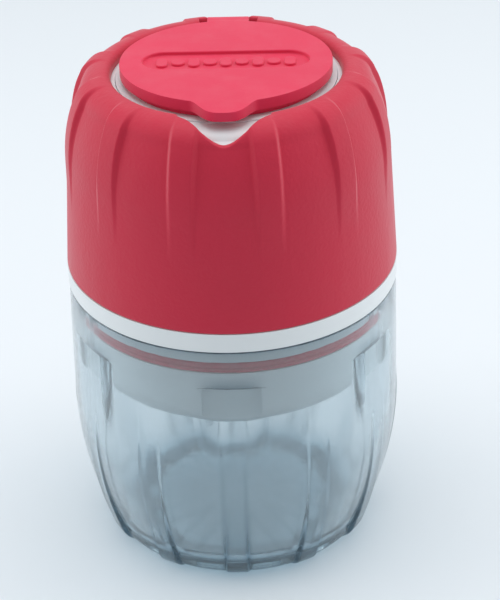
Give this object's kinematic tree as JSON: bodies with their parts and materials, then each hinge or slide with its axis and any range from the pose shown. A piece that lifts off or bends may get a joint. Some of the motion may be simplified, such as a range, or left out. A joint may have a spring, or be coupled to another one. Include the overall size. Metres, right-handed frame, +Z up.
{
  "type": "pill crusher",
  "caption": "Hand-twist pill crusher: clear ribbed powder jar, keyed plug with a conical burr mill, turning head with a soft ribbed grip, and a hinged soft lid over the hopper.",
  "frame": {"origin": "centre of the jar's base, on the surface it stands on", "axes": "+Z up along the jar's axis; -Y is the side with the lid's finger tab and the notch, +Y the lid's strap"},
  "size_m": [0.067, 0.067, 0.1034],
  "materials": {
    "clear_jar": "clear, blue-grey tint, polished",
    "soft_red": "matt silicone, fine grain",
    "white_plastic": "satin",
    "burr_ceramic": "unglazed, fine",
    "washer_plastic": "waxy",
    "steel": "fine turned",
    "brass": "knurled, plain"
  },
  "bodies": {
    "jar": {"jar": "clear_jar"},
    "mill": {"mill_base": "white_plastic", "jar_gasket": "soft_red", "burr_carrier": "white_plastic", "carrier_screws": "steel", "inner_burr": "burr_ceramic", "burr_insert": "brass", "burr_screw": "steel", "burr_washer": "steel", "burr_spring": "steel", "thrust_washer_upper": "washer_plastic"},
    "head": {"head_housing": "white_plastic", "grip_sleeve": "soft_red", "hopper_funnel": "white_plastic", "hopper_seal": "soft_red", "burr_holder": "white_plastic", "holder_screws": "steel", "outer_burr": "burr_ceramic", "outer_burr_screws": "steel", "retainer_nut": "white_plastic", "thrust_washer_lower": "washer_plastic"},
    "lid": {"lid": "soft_red"}
  },
  "joints": [
    {"name": "mill_lift", "type": "slide", "parent": "jar", "child": "mill", "axis": [0, 0, 1], "range_m": [0, 0.04]},
    {"name": "head_twist", "type": "hinge", "parent": "mill", "child": "head", "pos_m": [0, 0, 0.0576], "axis": [0, 0, 1], "continuous": true},
    {"name": "lid_hinge", "type": "hinge", "parent": "head", "child": "lid", "pos_m": [0, 0.0224, 0.10205], "axis": [-1, 0, 0], "range_deg": [0, 145]}
  ]
}
